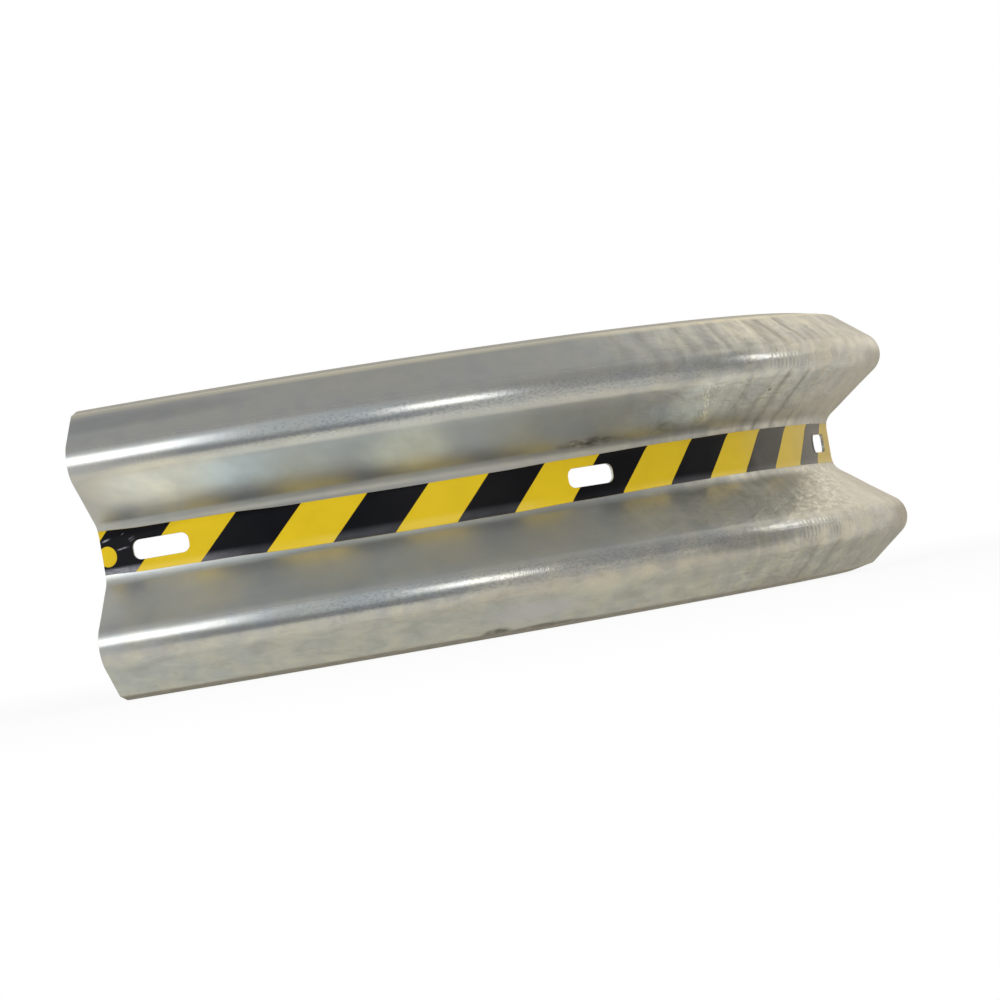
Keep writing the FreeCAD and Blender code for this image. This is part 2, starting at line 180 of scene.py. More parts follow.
SLOT_PLACES = [LEFT_END + SLOT_INSETS[0], 0.0, RIGHT_END - SLOT_INSETS[1]]
SLOT_PLACES[1] = (SLOT_PLACES[0] + SLOT_PLACES[2]) / 2


def slot_sizes(grow):
    """Half length, half height and corner radius of a slot that is grown by this much."""
    tall = SLOT_HEIGHT / 2 + grow
    return SLOT_LENGTH / 2 + grow, tall, tall - SLOT_END_FLAT / 2


def round_points(centre, radius, first, last, steps):
    """Points along a circle between two angles in degrees, with both ends."""
    turns = [math.radians(first + (last - first) * i / steps) for i in range(steps + 1)]
    return [(centre[0] + radius * math.cos(turn), centre[1] + radius * math.sin(turn)) for turn in turns]


def rounded_slot(centre_along, grow=0.0):
    """Outline of a slot on the developed sheet, anticlockwise, as (along, upward)."""
    length, tall, corner = slot_sizes(grow)
    outline = []
    for right, up, first in ((1, 1, 0), (-1, 1, 90), (-1, -1, 180), (1, -1, 270)):
        centre = (centre_along + right * (length - corner), up * (tall - corner))
        outline += round_points(centre, corner, first, first + 90, SLOT_CORNER_STEPS)
    return outline


def in_slot(along, up, grow):
    """Whether a point of the developed sheet lies in a slot that is grown by this much."""
    length, tall, corner = slot_sizes(grow)
    over_y = max(abs(up) - (tall - corner), 0.0)
    return any(math.hypot(max(abs(along - place) - (length - corner), 0.0), over_y) < corner
               for place in SLOT_PLACES)


def triangulate(points, edges):
    """Triangles of the plane between these points, with these edges kept: places, triangles, source points."""
    places, _, faces, sources, _, _ = delaunay_2d_cdt([Vector(p) for p in points], edges, [], 0, 1e-7)
    triangles = [(face[0], face[i], face[i + 1]) for face in faces for i in range(1, len(face) - 1)]
    return [tuple(p) for p in places], triangles, sources


def middle_of(places, triangle):
    return [sum(places[k][axis] for k in triangle) / 3 for axis in (0, 1)]


def loop_edges(start, count):
    return [(start + i, start + (i + 1) % count) for i in range(count)]


def new_piece(name, vertices, faces, **attributes):
    """A mesh piece with vector attributes on its points."""
    mesh = bpy.data.meshes.new(name)
    mesh.from_pydata(vertices, [], faces)
    for key, values in attributes.items():
        layer = mesh.attributes.new(key, "FLOAT_VECTOR", "POINT")
        layer.data.foreach_set("vector", [c for value in values for c in value])
    mesh.validate()
    piece = bpy.data.objects.new(name, mesh)
    bpy.context.scene.collection.objects.link(piece)
    return piece


def end_skew(along, up):
    """How far the left end's cut lies inwards of a square cut, fading out before the first slot."""
    fade = max(1.0 - (along - LEFT_END) / END_SKEW[2], 0.0)
    return (END_SKEW[0] + END_SKEW[1] * up) * fade


def set_back(point, normal, depth):
    return point[0] - normal[0] * depth, point[1] - normal[1] * depth


def back_row(row):
    """Place in a ring of the back's point behind this row of the section."""
    return 2 * len(SECTION) + 1 - row


class StraightRail:
    """The rail before it is bent: x along the beam, -y forward, z up from mid height."""

    def __init__(self):
        self.vertices = []
        self.faces = []
        self.places = []
        self.outs = []

    def add(self, along, point, normal, developed, side):
        """Adds a point of the section. side is 1 on the front face, -1 on the back and 0 on the edges."""
        along += end_skew(along, developed)
        self.vertices.append((along, -point[0], point[1]))
        self.places.append((along, developed, side))
        self.outs.append((0.0, -normal[0], normal[1]))
        return len(self.vertices) - 1

    def lip_edge(self, along, up, depths):
        """Two points on the edge of the upper (up is 1) or the lower lip (up is -1)."""
        _, (forward, upward), developed = SECTION[-1]
        out = (forward, upward * up)
        tip = (LIP_TIP[0], LIP_TIP[1] * up)
        return [self.add(along, set_back(tip, out, depth), out, (developed + EDGE_BREAK) * up, 0.0)
                for depth in depths]

    def ring(self, along, inset):
        """One closed loop round the sheet. inset narrows it, at the two broken ends."""
        front = [self.add(along, set_back(p, n, inset), n, v, 1.0) for p, n, v in SECTION]
        upper = self.lip_edge(along, 1, (EDGE_BREAK, SHEET - EDGE_BREAK))
        back = [self.add(along, set_back(p, n, SHEET - inset), n, v, -1.0) for p, n, v in reversed(SECTION)]
        lower = self.lip_edge(along, -1, (SHEET - EDGE_BREAK, EDGE_BREAK))
        return front + upper + back + lower

    def join(self, rings):
        """Faces between the rings, without the flat of the valley, and faces across the two ends."""
        count = len(SECTION)
        size = len(rings[0])
        last = len(rings) - 1
        open_rows = set(FLAT_ROWS[:-1]) | {back_row(i) for i in FLAT_ROWS[1:]}
        for a in range(last):
            for i in range(size):
                if 0 < a < last - 1 and i in open_rows:
                    continue
                j = (i + 1) % size
                self.faces.append((rings[a][i], rings[a + 1][i], rings[a + 1][j], rings[a][j]))
        for loop, flip in ((rings[0], False), (rings[last], True)):
            across = [(loop[i], loop[i + 1], loop[back_row(i + 1)], loop[back_row(i)]) for i in range(count - 1)]
            across.append((loop[count - 1], loop[count], loop[count + 1], loop[count + 2]))
            across.append((loop[size - 1], loop[0], loop[size - 3], loop[size - 2]))
            self.faces.extend(tuple(reversed(face)) if flip else face for face in across)

    def lay_valley(self, rings, stations):
        """The flat of the valley with its slots: one triangulated strip on each face of the sheet."""
        inner = range(1, len(rings) - 1)
        ends = (inner[0], inner[-1])
        sides = (FLAT_ROWS[0], FLAT_ROWS[-1])
        points = []
        grid = {}
        for a in inner:
            for i in FLAT_ROWS:
                along, up = stations[a], SECTION[i][0][1]
                if a in ends or i in sides or not in_slot(along, up, SHEET_CLEARANCE):
                    grid[a, i] = len(points)
                    points.append((along, up))
        owners = list(grid)
        edges = [(grid[a, i], grid[a + 1, i]) for a in inner[:-1] for i in sides]
        edges += [(grid[a, i], grid[a, i + 1]) for i in FLAT_ROWS[:-1] for a in ends]
        rims = []
        for place in SLOT_PLACES:
            outline = rounded_slot(place)
            rims += loop_edges(len(points), len(outline))
            points += outline
        spots, triangles, sources = triangulate(points, edges + rims)
        fronts = []
        backs = []
        where = {}
        for k, (along, up) in enumerate(spots):
            source = sources[k][0]
            where[source] = k
            if source < len(owners):
                a, i = owners[source]
                fronts.append(rings[a][i])
                backs.append(rings[a][back_row(i)])
            else:
                fronts.append(self.add(along, (0.0, up), (1.0, 0.0), up, 1.0))
                backs.append(self.add(along, (-SHEET, up), (1.0, 0.0), up, -1.0))
        for a, b, c in triangles:
            if not in_slot(*middle_of(spots, (a, b, c)), 0.0):
                self.faces.append((fronts[a], fronts[b], fronts[c]))
                self.faces.append((backs[c], backs[b], backs[a]))
        for p, q in rims:
            p, q = where[p], where[q]
            self.faces.append((fronts[p], fronts[q], backs[q], backs[p]))


def straight_rail():
    rail = StraightRail()
    step = (ARC_LENGTH - 2 * EDGE_BREAK) / STATIONS
    stations = [LEFT_END] + [LEFT_END + EDGE_BREAK + step * i for i in range(STATIONS + 1)] + [RIGHT_END]
    broken = (0, len(stations) - 1)
    rings = [rail.ring(s, EDGE_BREAK if i in broken else 0.0) for i, s in enumerate(stations)]
    rail.join(rings)
    rail.lay_valley(rings, stations)
    return new_piece("rail_dressed", rail.vertices, rail.faces, sheet_place=rail.places, sheet_out=rail.outs)


def edge_wander(along):
    share = (along - LEFT_END) / ARC_LENGTH
    for (x0, y0), (x1, y1) in zip(EDGE_WANDER, EDGE_WANDER[1:]):
        if share <= x1:
            ease = 0.5 - 0.5 * math.cos(math.pi * (share - x0) / (x1 - x0))
            return y0 + (y1 - y0) * ease
    return EDGE_WANDER[-1][1]


def film_plan():
    """The film as it lies flat, with its slots: places (along, developed), and triangles without and in the spot."""
    points = []
    edges = []
    rows = [FILM_BOTTOM + (FILM_TOP - FILM_BOTTOM) * i / FILM_ROWS for i in range(-3, FILM_ROWS + 4)]
    before = None
    for a in range(STATIONS + 1):
        along = LEFT_END + ARC_LENGTH * a / STATIONS
        low = FILM_BOTTOM + edge_wander(along)
        high = FILM_TOP + edge_wander(along)
        inner = [up for up in rows if low + BORDER_CLEARANCE < up < high - BORDER_CLEARANCE]
        at_end = a in (0, STATIONS)
        if not at_end:
            inner = [up for up in inner if not in_slot(along, up, FILM_TRIM + FILM_CLEARANCE)]
        column = [len(points) + i for i in range(len(inner) + 2)]
        points += [(along, up) for up in [low] + inner + [high]]
        if before:
            edges += [(before[0], column[0]), (before[-1], column[-1])]
        if at_end:
            edges += list(zip(column, column[1:]))
        before = column
    circle = round_points(SPOT_CENTRE, SPOT_RADIUS, 0, 360, SPOT_CORNERS)[:-1]
    for outline in [rounded_slot(place, FILM_TRIM) for place in SLOT_PLACES] + [circle]:
        edges += loop_edges(len(points), len(outline))
        points += outline
    spots, triangles, _ = triangulate(points, edges)
    plain = []
    in_spot = []
    for triangle in triangles:
        along, up = middle_of(spots, triangle)
        inside = FILM_BOTTOM < up - edge_wander(along) < FILM_TOP and LEFT_END < along < RIGHT_END
        if inside and not in_slot(along, up, FILM_TRIM):
            (in_spot if math.dist((along, up), SPOT_CENTRE) < SPOT_RADIUS else plain).append(triangle)
    return spots, plain, in_spot


def film_piece(name, spots, triangles, under, over):
    """A closed slab of film between two heights above the steel, still flat: x along, -y forward, z developed."""
    used = sorted({k for triangle in triangles for k in triangle})
    low = {k: i for i, k in enumerate(used)}
    high = {k: i + len(used) for i, k in enumerate(used)}
    skewed = [(spots[k][0] + end_skew(*spots[k]), spots[k][1]) for k in used]
    vertices = [(along, -depth, up) for depth in (under, over) for along, up in skewed]
    faces = []
    border = {}
    for a, b, c in triangles:
        faces.append((high[a], high[b], high[c]))
        faces.append((low[c], low[b], low[a]))
        for p, q in ((a, b), (b, c), (c, a)):
            if (q, p) in border:
                del border[q, p]
            else:
                border[p, q] = True
    faces += [(high[p], low[p], low[q], high[q]) for p, q in border]
    return new_piece(name, vertices, faces)


# Node trees
class Tree:
    """A node tree under construction."""

    def __init__(self, tree):
        self.tree = tree
        self.tree.nodes.clear()
        self.column = 0

    def node(self, kind, inputs=(), **settings):
        made = self.tree.nodes.new(kind)
        made.location = (self.column * 180, 0)
        self.column += 1
        for key, value in settings.items():
            setattr(made, key, value)
        for key, value in dict(inputs).items():
            self.feed(made.inputs[key], value)
        return made

    def feed(self, socket, value):
        if isinstance(value, bpy.types.NodeSocket):
            self.tree.links.new(value, socket)
        else:
            socket.default_value = value

    def math(self, operation, *values):
        return self.node("ShaderNodeMath", enumerate(values), operation=operation).outputs[0]

    def add(self, a, b):
        return self.math("ADD", a, b)

    def minus(self, a, b):
        return self.math("SUBTRACT", a, b)

    def size_of(self, value):
        return self.math("ABSOLUTE", value)

    def times(self, first, *others):
        """Product of all these values."""
        for other in others:
            first = self.math("MULTIPLY", first, other)
        return first

    def ramp(self, value, low, high, out_low=0.0, out_high=1.0, kind="LINEAR"):
        return self.node("ShaderNodeMapRange", {
            "Value": value, "From Min": low, "From Max": high, "To Min": out_low, "To Max": out_high,
        }, interpolation_type=kind).outputs[0]

    def smooth(self, value, low, high, out_low=0.0, out_high=1.0):
        return self.ramp(value, low, high, out_low, out_high, "SMOOTHSTEP")

    def band(self, value, rise, fall, kind="LINEAR"):
        """Rises to 1 over one pair of values and falls again over another."""
        return self.times(self.ramp(value, *rise, kind=kind), self.ramp(value, *fall, kind=kind))

    def xyz(self, x=0.0, y=0.0, z=0.0):
        return self.node("ShaderNodeCombineXYZ", {"X": x, "Y": y, "Z": z}).outputs[0]

    def cloudy(self, vector, detail, roughness, distortion=0.0):
        return self.node("ShaderNodeTexNoise", {
            "Vector": vector, "Scale": 1.0, "Detail": detail, "Roughness": roughness,
            "Distortion": distortion}).outputs[0]

    def parts(self, vector):
        return self.node("ShaderNodeSeparateXYZ", {"Vector": vector}).outputs


class Shaping(Tree):
    """A Geometry Nodes tree under construction, with named inputs."""

    KINDS = {float: "NodeSocketFloat", int: "NodeSocketInt", type(None): "NodeSocketMaterial"}

    def __init__(self, name, inputs):
        super().__init__(bpy.data.node_groups.new(name, "GeometryNodeTree"))
        sockets = self.tree.interface
        sockets.new_socket(name="Geometry", in_out="INPUT", socket_type="NodeSocketGeometry")
        for key, value in inputs.items():
            made = sockets.new_socket(name=key, in_out="INPUT", socket_type=self.KINDS[type(value)])
            if value is not None:
                made.default_value = value
        sockets.new_socket(name="Geometry", in_out="OUTPUT", socket_type="NodeSocketGeometry")
        self.given = self.node("NodeGroupInput").outputs

    def stored(self, name):
        return self.node("GeometryNodeInputNamedAttribute", {"Name": name}, data_type="FLOAT_VECTOR").outputs[0]

    def store(self, geometry, name, value, kind):
        return self.node("GeometryNodeStoreNamedAttribute", {"Geometry": geometry, "Name": name, "Value": value},
                         data_type=kind, domain="POINT").outputs[0]

    def position(self):
        return self.parts(self.node("GeometryNodeInputPosition").outputs[0])

    def moved(self, geometry, **where):
        return self.node("GeometryNodeSetPosition", {"Geometry": geometry, **where}).outputs[0]

    def finished(self, geometry):
        """Ends the tree with real geometry and its material."""
        real = self.node("GeometryNodeRealizeInstances", {"Geometry": geometry}).outputs[0]
        done = self.node("GeometryNodeSetMaterial", {"Geometry": real, "Material": self.given["Material"]})
        self.node("NodeGroupOutput", {"Geometry": done.outputs[0]})
        return self.tree

    def bent(self, geometry, along, forward, up):
        """Bends a straight piece about the upright axis of the bend, and ends the tree."""
        turn = self.math("DIVIDE", along, self.given["Bend radius"])
        radius = self.add(self.given["Bend radius"], forward)
        place = self.xyz(self.times(radius, self.math("SINE", turn)),
                         self.minus(self.given["Bend centre"], self.times(radius, self.math("COSINE", turn))),
                         self.add(up, self.given["Mid height"]))
        return self.finished(self.moved(geometry, Position=place))

    def fold(self, up):
        """The flat part of a point's distance along the film from mid height, and the angle that it is wrapped by."""
        flat_part = self.math("MINIMUM", self.size_of(up), self.given["Valley half"])
        wrapped = self.math("DIVIDE", self.minus(self.size_of(up), flat_part), self.given["Valley bend"])
        return flat_part, wrapped


BEND_INPUTS = {"Bend radius": BEND_RADIUS, "Bend centre": BEND_CENTRE_Y, "Mid height": MID_HEIGHT, "Material": None}
FOLD_INPUTS = {"Valley half": VALLEY_HALF, "Valley bend": VALLEY_BEND}

# Distance of the tops of the crests from mid height, along the sheet
CREST_PLACE = 0.134

# Dents of the bending rolls: place along the beam where they cross the crest, and depth as a share of the deepest
ROLL_DENTS = ((0.012, 0.25), (0.0467, 0.40), (0.0771, 0.50), (0.100, 0.55), (0.129, 0.30), (0.1557, 0.60),
              (0.184, 0.45), (0.2254, 0.55), (0.2504, 1.0), (0.2933, 1.0), (0.334, 0.35))

# How far the borders of the print stray along the film: place along the film, offset
PRINT_DRIFT = ((-0.560, 0.0), (-0.503, 0.0008), (-0.433, 0.0017), (-0.363, 0.0032), (-0.293, 0.0056),
               (-0.223, 0.0041), (-0.153, 0.0036), (-0.0835, 0.0011), (-0.0136, 0.0026), (0.0563, 0.0009),
               (0.126, 0.0028), (0.196, -0.0005), (0.266, -0.0004), (0.336, -0.0012), (0.406, 0.0026),
               (0.476, 0.0030))

# The blocks that the bars are cut with: thickness, height, rows
BAR_BLOCK = (0.003, 0.070, 41)


def bend_rail_tree():
    """Gives the straight rail the waves and the dents of the bending rolls, and bends it."""
    t = Shaping("bend_rail", {
        **BEND_INPUTS, "Waviness": 0.0012, "Dent depth": 0.00035, "Dent width": 0.0048, "Dent lean": 0.19,
        "Crest place": CREST_PLACE, "Wave seed": 3.7})
    part = t.parts(t.stored("sheet_place"))
    x, y = part["X"], part["Y"]
    out = t.stored("sheet_out")
    away = t.size_of(y)

    def wave(along, across):
        return t.cloudy(t.xyz(t.times(x, along), t.times(y, across), t.given["Wave seed"]), 2.0, 0.45)

    # The dents lean away from the crest, wander a little and fade in patches
    lean = t.times(t.size_of(t.minus(away, t.given["Crest place"])), t.given["Dent lean"])
    wander = t.times(t.minus(wave(16.0, 22.0), 0.5), 0.014)
    across = t.add(t.minus(x, lean), wander)
    dents = 0.0
    for place, share in ROLL_DENTS:
        off = t.math("DIVIDE", t.minus(across, place), t.given["Dent width"])
        dents = t.math("MULTIPLY_ADD", t.math("EXPONENT", t.times(off, off, -1.0)), share, dents)
    patchy = t.smooth(wave(30.0, 26.0), 0.30, 0.62, 0.35, 1.0)
    on_crest = t.band(away, (0.110, 0.124), (0.158, 0.146), "SMOOTHSTEP")
    upper_flange = t.smooth(y, 0.130, 0.150)
    upper_web = t.times(t.smooth(y, 0.0, 0.02), t.smooth(x, 0.10, 0.19, 0.25, 1.0))
    lower_side = t.times(t.smooth(y, 0.0, -0.02), t.smooth(x, 0.185, 0.26, 0.0, 0.6))
    shown = t.math("MAXIMUM", upper_flange, t.math("MAXIMUM", upper_web, lower_side))
    dents = t.times(dents, patchy, t.smooth(on_crest, 0.0, 1.0, 1.0, 0.15), shown)

    # Waves and dents sink the sheet, but not in the valley and at the lips
    sunk = t.add(t.times(wave(7.0, 5.0), t.given["Waviness"]), t.times(dents, t.given["Dent depth"]))
    clear = t.band(away, (0.045, 0.085), (0.236, 0.215), "SMOOTHSTEP")
    offset = t.node("ShaderNodeVectorMath", {0: out, "Scale": t.times(sunk, clear, -1.0)}, operation="SCALE")
    marked = t.store(t.given["Geometry"], "roll_dents", dents, "FLOAT")
    waved = t.moved(marked, Offset=offset.outputs[0])
    spot = t.position()
    return t.bent(waved, spot["X"], t.times(spot["Y"], -1.0), spot["Z"])


def print_bars_tree():
    """Black bars along the film, cut to the layer of ink that comes in."""
    thickness, height, rows = BAR_BLOCK
    t = Shaping("print_bars", {
        "Bar count": BAR_COUNT, "Bar width": BAR_WIDTH, "Bar pitch": 2 * BAR_WIDTH,
        "Bar slant": math.tan(math.radians(BAR_SLANT)), "First bar": LEFT_END - BAR_CUT_OFF + BAR_WIDTH / 2,
        "Film height": height, **FOLD_INPUTS, "Material": None})
    size = t.xyz(t.given["Bar width"], thickness, t.given["Film height"])
    block = t.node("GeometryNodeMeshCube", {"Size": size, "Vertices X": 2, "Vertices Y": 2, "Vertices Z": rows})
    spot = t.position()
    flat_part, wrapped = t.fold(spot["Z"])
    rise = t.add(flat_part, t.times(t.given["Valley bend"], t.math("SINE", wrapped)))
    lean = t.times(rise, t.math("SIGN", spot["Z"]), t.given["Bar slant"])
    bar = t.moved(block.outputs[0], Offset=t.xyz(lean))
    line = t.node("GeometryNodeMeshLine", {
        "Count": t.given["Bar count"], "Start Location": t.xyz(t.given["First bar"]),
        "Offset": t.xyz(t.given["Bar pitch"])}).outputs[0]
    copies = t.node("GeometryNodeInstanceOnPoints", {"Points": line, "Instance": bar}).outputs[0]
    row = t.node("GeometryNodeRealizeInstances", {"Geometry": copies}).outputs[0]
    straight = t.minus(spot["X"], lean)
    drift = 0.0
    for (x0, drift0), (x1, drift1) in zip(PRINT_DRIFT, PRINT_DRIFT[1:]):
        drift = t.add(t.smooth(straight, x0, x1, 0.0, drift1 - drift0), drift)
    row = t.moved(row, Offset=t.xyz(drift))
    cut = t.node("GeometryNodeMeshBoolean", operation="INTERSECT", solver="EXACT")
    for mesh in (t.given["Geometry"], row):
        t.tree.links.new(mesh, cut.inputs["Mesh 2"])
    return t.finished(cut.outputs[0])


def wrap_film_tree():
    """Folds a flat film into the valley and bends it. The place on the film is stored, with z in millimetres."""
    t = Shaping("wrap_film", {**BEND_INPUTS, **FOLD_INPUTS})
    spot = t.position()
    place = t.xyz(spot["X"], spot["Z"], t.times(spot["Y"], -1000.0))
    kept = t.store(t.given["Geometry"], "sheet_place", place, "FLOAT_VECTOR")
    part = t.parts(t.stored("sheet_place"))
    flat_part, wrapped = t.fold(part["Y"])
    arm = t.minus(t.given["Valley bend"], t.math("DIVIDE", part["Z"], 1000.0))
    rise = t.add(flat_part, t.times(arm, t.math("SINE", wrapped)))
    forward = t.minus(t.given["Valley bend"], t.times(arm, t.math("COSINE", wrapped)))
    return t.bent(kept, part["X"], forward, t.times(rise, t.math("SIGN", part["Y"])))


def make_with(piece, trees, material):
    """Runs node trees on a straight piece and keeps the plain mesh that they give."""
    for tree in trees:
        modifier = piece.modifiers.new(tree.name, "NODES")
        modifier.node_group = tree
        for item in tree.interface.items_tree:
            if item.in_out == "INPUT" and item.name == "Material":
                modifier[item.identifier] = material
    evaluated = piece.evaluated_get(bpy.context.evaluated_depsgraph_get())
    mesh = bpy.data.meshes.new_from_object(evaluated)
    piece.modifiers.clear()
    piece.data = mesh
    mesh.name = piece.name
    mesh.shade_smooth()
    mesh.set_sharp_from_angle(angle=math.radians(SHARP_ANGLE))
    return piece


# Materials
class Finish(Tree):
    """A material under construction, with its colour and its normal so far."""

    def __init__(self, name, ground=(1, 1, 1)):
        self.colour = (*ground, 1)
        self.normal = None
        self.material = bpy.data.materials.new(name)
        self.material.use_nodes = True
        super().__init__(self.material.node_tree)

    def attribute(self, name, output):
        return self.node("ShaderNodeAttribute", attribute_name=name).outputs[output]

    def noise(self, place, along, across, shift=0.0, detail=3.0, roughness=0.5, distortion=0.0):
        """Noise of the place on the sheet, with its own scale along and across the sheet."""
        stretched = self.node("ShaderNodeMapping", {
            "Vector": place, "Scale": (along, across, 1.0), "Location": (shift, shift * 0.7, 0.0)}).outputs[0]
        return self.cloudy(stretched, detail, roughness, distortion)

    def lay(self, colour, *amounts, blend="MIX"):
        """Lays a colour over the colour so far, by the product of some amounts."""
        self.colour = self.node("ShaderNodeMix", {0: self.times(*amounts), 6: self.colour, 7: (*colour, 1)},
                                data_type="RGBA", blend_type=blend).outputs[2]

    def oval(self, x, y, middle, half_sizes, full):
        """1 inside an oval, falling to 0 at its border. full is the share of its reach where the fall begins."""
        off = [self.math("DIVIDE", self.minus(value, centre), half)
               for value, centre, half in zip((x, y), middle, half_sizes)]
        return self.ramp(self.add(*(self.times(d, d) for d in off)), 1.0, full)

    def emboss(self, distance, *heights):
        """Adds a bump, whose height is the product of some values, to the normal so far."""
        before = {"Normal": self.normal} if self.normal else {}
        self.normal = self.node("ShaderNodeBump", {
            "Height": self.times(*heights), "Distance": distance, "Strength": 1.0, **before}).outputs[0]

    def surface(self, inputs):
        shader = self.node("ShaderNodeBsdfPrincipled", {"Base Color": self.colour, "Normal": self.normal, **inputs})
        return self.shown(shader.outputs[0])

    def shown(self, shader):
        self.node("ShaderNodeOutputMaterial", {"Surface": shader})
        return self.material


# Patches laid on the zinc: middle along and up the sheet, half sizes, share, colour. The five on the upper web at the
# left are painted reflection of the lower web
REFLECTION_AND_COLOUR_PATCHES = (
    (-0.475, 0.090, 0.085, 0.042, 0.80, (0.82, 0.785, 0.65)),
    (-0.400, 0.085, 0.060, 0.040, 0.75, (0.66, 0.73, 0.72)),
    (-0.320, 0.092, 0.070, 0.036, 0.60, (0.58, 0.62, 0.60)),
    (-0.230, 0.080, 0.062, 0.044, 0.90, (0.68, 0.69, 0.60)),
    (-0.140, 0.088, 0.050, 0.034, 0.45, (0.54, 0.575, 0.56)),
    (0.135, 0.085, 0.062, 0.048, 0.80, (0.66, 0.66, 0.60)),
    (0.480, 0.080, 0.120, 0.060, 0.60, (0.56, 0.55, 0.49)),
    (-0.124, -0.184, 0.060, 0.024, 0.75, (0.47, 0.475, 0.52)),
    (-0.054, -0.160, 0.050, 0.016, 0.60, (0.60, 0.585, 0.50)),
    (-0.018, -0.184, 0.026, 0.010, 0.70, (0.30, 0.31, 0.28)),
    (0.060, -0.176, 0.030, 0.012, 0.45, (0.35, 0.355, 0.32)),
)
# Painted light and shade: areas of the zinc made lighter or darker where the light falls: middle along and up the
# sheet, half sizes, where their fall begins, factors
PAINTED_LEVELS = (
    (0.020, 0.090, 0.560, 0.050, 0.4, (1.14, 1.18, 1.24)),
    (0.095, 0.062, 0.090, 0.032, 0.2, (1.12, 1.15, 1.18)),
    (0.190, 0.194, 0.210, 0.036, 0.3, (1.19, 1.18, 1.16)),
    (0.560, 0.198, 0.120, 0.055, 0.2, (0.77, 0.765, 0.755)),
    (0.045, 0.214, 0.070, 0.014, 0.2, (1.16, 1.16, 1.14)),
    (0.140, 0.136, 0.050, 0.013, 0.2, (0.80, 0.80, 0.80)),
    (0.232, -0.045, 0.050, 0.024, 0.2, (1.20, 1.20, 1.22)),
    (-0.520, 0.188, 0.160, 0.016, 0.2, (0.83, 0.83, 0.84)),
    (-0.260, 0.211, 0.260, 0.009, 0.3, (1.15, 1.15, 1.13)),
    (-0.440, -0.062, 0.240, 0.050, 0.3, (1.19, 1.19, 1.19)),
    (0.235, -0.205, 0.090, 0.014, 0.2, (0.83, 0.82, 0.81)),
    (0.150, -0.134, 0.100, 0.012, 0.2, (0.83, 0.82, 0.81)),
    (0.545, -0.085, 0.085, 0.070, 0.3, (0.83, 0.82, 0.82)),
)
# How far a smooth bump turns the crests towards the valley, as the highlights of the photograph lie
CREST_TILT = 0.0042
# The border of the scaly part of the lower web, past which it is painted lighter as reflected light: place at mid
# height, and change of it per metre upwards
SCALY_BORDER = 0.415
SCALY_LEAN = 1.83
# The pale stroke on the upper web: its place along at a height, and change of it per metre downwards
STROKE_PLACE = 0.1233
STROKE_HEIGHT = 0.1033
STROKE_LEAN = 0.6246
# Ripples a metre on the crests, times two pi
RIPPLES = 840.0


class Zinc(Finish):
    """The finish of the steel, with the places and the patterns that its colour and its relief share."""

    def __init__(self):
        super().__init__("galvanised_steel", (0.418, 0.430, 0.430))
        self.place = self.attribute("sheet_place", "Vector")
        part = self.parts(self.place)
        self.x, self.y = part["X"], part["Y"]
        self.away = self.size_of(self.y)
        self.front = self.ramp(part["Z"], 0.0, 0.5)
        self.right = self.ramp(self.x, -0.06, 0.20)
        self.crest = self.band(self.away, (0.114, 0.128), (0.156, 0.144))
        self.flat = self.times(self.ramp(self.away, 0.03, 0.07), self.ramp(self.crest, 0.0, 1.0, 1.0, 0.25))
        sway = self.times(self.size_of(self.minus(self.away, CREST_PLACE)), -0.42)
        self.leaning = self.xyz(self.add(self.x, sway), self.y)
        self.clouds = self.noise(self.place, 9.0, 14.0, 0.0, 3.0, 0.55)
        self.mottle = self.noise(self.leaning, 36.0, 64.0, 3.1, 4.0, 0.62, 0.6)
        self.streaks = self.noise(self.leaning, 50.0, 14.0, 5.4, 3.0, 0.55, 0.5)
        self.smears = self.noise(self.place, 75.0, 190.0, 1.9, 3.0, 0.6)
        self.scales = self.noise(self.leaning, 62.0, 118.0, 4.9, 2.0, 0.5, 0.9)
        border = self.math("MULTIPLY_ADD", self.y, SCALY_LEAN, SCALY_BORDER)
        self.past_border = self.add(self.minus(self.x, border), self.ramp(self.streaks, 0.2, 0.8, -0.012, 0.012))
        self.scaly = self.times(self.ramp(self.past_border, -0.006, 0.008),
                                self.band(self.y, (-0.018, -0.034), (-0.121, -0.110)), self.front)
        self.near_border = self.times(self.scaly, self.ramp(self.past_border, 0.19, 0.07, 0.15, 1.0))

    def spot(self, along, up, half_along, half_up, full=0.5):
        """An oval on the front face."""
        return self.times(self.oval(self.x, self.y, (along, up), (half_along, half_up), full), self.front)


def zinc_skin(m):
    """Faint tints at the left, a coarser skin at the right and on the lower flange, and painted shade in the dents.
    """
    tints = m.noise(m.place, 38.0, 20.0, 12.7, 2.0, 0.5, 0.3)
    rich = m.math("MAXIMUM", m.right, m.times(m.ramp(m.y, -0.10, -0.15), 0.7))
    streaky = m.times(m.right, m.ramp(m.y, 0.135, 0.155, 0.24, 0.50))
    m.lay((0.455, 0.452, 0.424), m.ramp(m.clouds, 0.35, 0.65))
    for pattern, low, high, amount, colour in (
            (tints, 0.45, 0.62, m.ramp(rich, 0.0, 1.0, 0.28, 0.8), (0.492, 0.482, 0.418)),
            (tints, 0.46, 0.32, m.ramp(rich, 0.0, 1.0, 0.28, 0.6), (0.380, 0.395, 0.405)),
            (m.mottle, 0.50, 0.64, m.ramp(rich, 0.0, 1.0, 0.08, 0.55), (0.315, 0.310, 0.285)),
            (m.mottle, 0.46, 0.34, m.ramp(rich, 0.0, 1.0, 0.08, 0.55), (0.570, 0.550, 0.480)),
            (m.streaks, 0.52, 0.64, streaky, (0.255, 0.250, 0.230)),
            (m.streaks, 0.46, 0.36, streaky, (0.640, 0.625, 0.545))):
        m.lay(colour, m.ramp(pattern, low, high), amount)
    # Painted shade in the dents of the bending rolls
    m.lay((0.190, 0.183, 0.162), m.attribute("roll_dents", "Fac"), 0.85)


